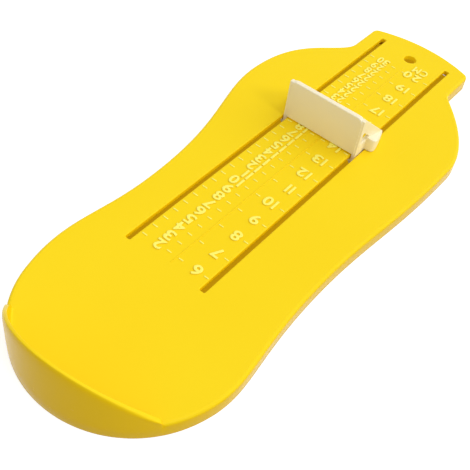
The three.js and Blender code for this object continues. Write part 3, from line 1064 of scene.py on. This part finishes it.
def plastic(name, surface, values):
    """A moulded plastic whose colour drifts slowly between two tones, with a deeper tone painted on
    its steep walls as their shade."""
    material = bpy.data.materials.new(name)
    material.use_nodes = True
    tree = material.node_tree
    shader = tree.nodes["Principled BSDF"]
    skin = add_node(tree, "ShaderNodeGroup", -600, 0)
    skin.node_tree = surface
    for socket, value in values["surface"].items():
        skin.inputs[socket].default_value = value
    tone, drift, upright = (srgb(*values[key]) for key in ("tone", "drift", "upright"))
    share, drifted, _ = colour_mix(tree, -500, 300, tone, drift)
    # Painted shade: the steep walls take the deeper tone through the group's wall mask
    wall, tinted, level = colour_mix(tree, -300, 300, tone, upright)
    tree.links.new(skin.outputs["Drift"], share)
    tree.links.new(skin.outputs["Wall Shade"], wall)
    tree.links.new(drifted, level)
    tree.links.new(tinted, shader.inputs["Base Color"])
    tree.links.new(skin.outputs["Roughness"], shader.inputs["Roughness"])
    tree.links.new(skin.outputs["Normal"], shader.inputs["Normal"])
    shader.inputs["Specular IOR Level"].default_value = values["shine"]
    return material


# Scene


def combined(tree, operation, first, second, x, y):
    """The result of a sum on two masks."""
    node = add_node(tree, "ShaderNodeMath", x, y, operation=operation)
    tree.links.new(first, node.inputs[0])
    tree.links.new(second, node.inputs[1])
    return node.outputs[0]


def seen_directly(tree, x, y):
    """Is 1 where the camera, a reflection or a clear part sees the surface."""
    path = add_node(tree, "ShaderNodeLightPath", x, y)
    rays = path.outputs
    direct = combined(tree, "MAXIMUM", rays["Is Camera Ray"], rays["Is Glossy Ray"], x + 200, y)
    return combined(tree, "MAXIMUM", direct, rays["Is Transmission Ray"], x + 400, y)


def over_rectangle(tree, place, low, high, y):
    """Is 1 over a rectangle of the table, given by two corners in the board's frame."""
    sides = []
    for i, axis in enumerate("XY"):
        within = add_node(tree, "ShaderNodeMath", -800, y - 160 * i, operation="COMPARE")
        within.inputs[1].default_value = (ORIGIN[i] + (low[i] + high[i]) / 2) * MM
        within.inputs[2].default_value = (high[i] - low[i]) / 2 * MM
        tree.links.new(place.outputs[axis], within.inputs[0])
        sides.append(within.outputs[0])
    return combined(tree, "MULTIPLY", *sides, -600, y)


def beside_slots(tree, place, y):
    """Is 1 away from the two slots, where no light from below can come up through them."""
    from_middle = add_node(tree, "ShaderNodeMath", -1000, y, operation="SUBTRACT")
    from_middle.inputs[1].default_value = ORIGIN.x * MM
    distance = add_node(tree, "ShaderNodeMath", -800, y, operation="ABSOLUTE")
    near = add_node(tree, "ShaderNodeMath", -600, y, operation="COMPARE")
    near.inputs[1].default_value = SLOT_X * MM
    near.inputs[2].default_value = SLOT_SHADE * MM
    away = add_node(tree, "ShaderNodeMath", -400, y, operation="SUBTRACT")
    away.inputs[0].default_value = 1.0
    tree.links.new(place.outputs["X"], from_middle.inputs[0])
    tree.links.new(from_middle.outputs[0], distance.inputs[0])
    tree.links.new(distance.outputs[0], near.inputs[0])
    tree.links.new(near.outputs[0], away.inputs[1])
    return away.outputs[0]


def covered_by_board(tree, place):
    """Is 1 on the table in the board's shade."""
    covered = over_rectangle(tree, place, *SHADED_AREAS[0], -300)
    for i, area in enumerate(SHADED_AREAS[1:], 1):
        shaded = over_rectangle(tree, place, *area, -300 - 400 * i)
        covered = combined(tree, "MAXIMUM", covered, shaded, -600 + 200 * i, -300)
    return covered


def table_finish(tree, covered):
    """The table's surface, which lights the object less than it shows, as a table does that ends
    not far off. Under the board it is painted a dark amber shade, which glows with it."""
    link = tree.links.new
    seen = seen_directly(tree, -800, 200)
    albedo = add_node(tree, "ShaderNodeMapRange", -200, 200, To_Min=FLOOR_BOUNCE, To_Max=FLOOR_SHADE)
    strength = add_node(tree, "ShaderNodeMath", 200, -200, operation="MULTIPLY")
    strength.inputs[1].default_value = FLOOR_GLOW
    # Painted shade: under the board the table is tinted dark amber, in its colour and in its glow
    shade, tone, _ = colour_mix(tree, 0, 0, WHITE, UNDER_BOARD_PAINTED_SHADE)
    tinted = add_node(tree, "ShaderNodeVectorMath", 100, 200, operation="MULTIPLY")
    diffuse = add_node(tree, "ShaderNodeBsdfDiffuse", 300, 200)
    glow = add_node(tree, "ShaderNodeEmission", 400, -200)
    finish = add_node(tree, "ShaderNodeAddShader", 600, 100)
    link(seen, albedo.inputs["Value"])
    link(seen, strength.inputs[0])
    link(covered, shade)
    link(albedo.outputs["Result"], tinted.inputs[0])
    link(tone, tinted.inputs[1])
    link(tinted.outputs["Vector"], diffuse.inputs["Color"])
    link(tone, glow.inputs["Color"])
    link(strength.outputs[0], glow.inputs["Strength"])
    link(diffuse.outputs[0], finish.inputs[0])
    link(glow.outputs[0], finish.inputs[1])
    return finish.outputs[0]


def table_opening(tree, place, covered):
    """Is 1 where light passes the table: from below, and from the room to the board's underside,
    but not up through the slots."""
    path = add_node(tree, "ShaderNodeLightPath", -600, -1200)
    bounced = combined(tree, "MULTIPLY", covered, path.outputs["Is Diffuse Ray"], -200, -900)
    passed = combined(tree, "MULTIPLY", bounced, beside_slots(tree, place, -900), 0, -900)
    side = add_node(tree, "ShaderNodeNewGeometry", 200, 500)
    return combined(tree, "MAXIMUM", side.outputs["Backfacing"], passed, 400, 500)


def table_material():
    """The table's finish, open where light passes it."""
    material = bpy.data.materials.new("table top")
    material.use_nodes = True
    tree = material.node_tree
    tree.nodes.clear()
    link = tree.links.new
    coordinates = add_node(tree, "ShaderNodeTexCoord", -1400, -300)
    place = add_node(tree, "ShaderNodeSeparateXYZ", -1200, -300)
    link(coordinates.outputs["Object"], place.inputs["Vector"])
    covered = covered_by_board(tree, place)
    clear = add_node(tree, "ShaderNodeBsdfTransparent", 600, -100)
    mix = add_node(tree, "ShaderNodeMixShader", 800, 100)
    output = add_node(tree, "ShaderNodeOutputMaterial", 1000, 100)
    link(table_opening(tree, place, covered), mix.inputs[0])
    link(table_finish(tree, covered), mix.inputs[1])
    link(clear.outputs[0], mix.inputs[2])
    link(mix.outputs[0], output.inputs["Surface"])
    return material


def add_floor():
    """A pale table top that keeps the object's shadow and is open when seen from below. The slots
    and the hole look down on the dark amber shade painted on it under the board."""
    bm = bmesh.new()
    bmesh.ops.create_grid(bm, x_segments=1, y_segments=1, size=FLOOR_REACH)
    mesh = bpy.data.meshes.new("table_top")
    bm.to_mesh(mesh)
    bm.free()
    mesh.materials.append(table_material())
    floor = bpy.data.objects.new("table_top", mesh)
    bpy.context.scene.collection.objects.link(floor)
    floor.location.z = cad_low.z - FLOOR_GAP


def add_world():
    """An even pale room: white where the camera sees it, dimmer where it lights the object."""
    world = bpy.data.worlds.new("studio")
    bpy.context.scene.world = world
    world.use_nodes = True
    tree = world.node_tree
    background = tree.nodes["Background"]
    background.inputs["Color"].default_value = WHITE
    level = add_node(tree, "ShaderNodeMapRange", -200, 0, To_Min=ROOM_LIGHT, To_Max=1.0)
    tree.links.new(seen_directly(tree, -800, 0), level.inputs["Value"])
    tree.links.new(level.outputs["Result"], background.inputs["Strength"])


def add_sky_panel(name, towards, strength, spread):
    """A broad soft light from far off, in the direction given, even over the whole table."""
    light = bpy.data.lights.new(name, "SUN")
    light.energy = strength
    light.angle = math.radians(spread)
    lamp = bpy.data.objects.new(name, light)
    bpy.context.scene.collection.objects.link(lamp)
    lamp.rotation_mode = "QUATERNION"
    lamp.rotation_quaternion = Vector(towards).to_track_quat("Z", "Y")


def add_camera():
    """The photograph's viewpoint, above and behind the right side of the heel."""
    camera = bpy.data.cameras.new("camera")
    camera.sensor_width = CAMERA_SENSOR
    camera.lens = CAMERA_LENS
    holder = bpy.data.objects.new("camera", camera)
    bpy.context.scene.collection.objects.link(holder)
    holder.location = (CAMERA_PLACE + ORIGIN) * MM
    holder.rotation_euler = [math.radians(turn) for turn in CAMERA_TURN]
    bpy.context.scene.camera = holder


def add_lights():
    """A broad key from the toes' right, a small glint for the edges, and a fill on the heel cup."""
    add_sky_panel("key", KEY_DIRECTION, KEY_STRENGTH, KEY_SPREAD)
    add_sky_panel("glint", GLINT_DIRECTION, GLINT_STRENGTH, GLINT_SPREAD)
    add_sky_panel("fill", FILL_DIRECTION, FILL_STRENGTH, FILL_SPREAD)


surface = moulded_surface()
board_plastic = plastic("board plastic", surface, BOARD_PLASTIC)
# The relief's pale tone is a painted highlight on the raised figures and ticks
relief_painted_highlight = plastic("relief painted highlight", surface, RELIEF_PAINTED_HIGHLIGHT)
slider_plastic = plastic("slider plastic", surface, SLIDER_PLASTIC)

board = make_board()
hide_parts("sole_board")
for piece, material in (
    (board, board_plastic),
    (make_figures(), relief_painted_highlight),
    (make_ticks(), relief_painted_highlight),
    (make_divider(), board_plastic),
):
    piece.data.materials.append(material)
    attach(piece, "board")

slider = make_slider()
slider.data.materials.clear()
slider.data.materials.append(slider_plastic)
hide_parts("toe_slider")
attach(slider, "slider")

add_floor()
add_world()
add_lights()
add_camera()
bpy.context.scene.view_settings.view_transform = "Standard"
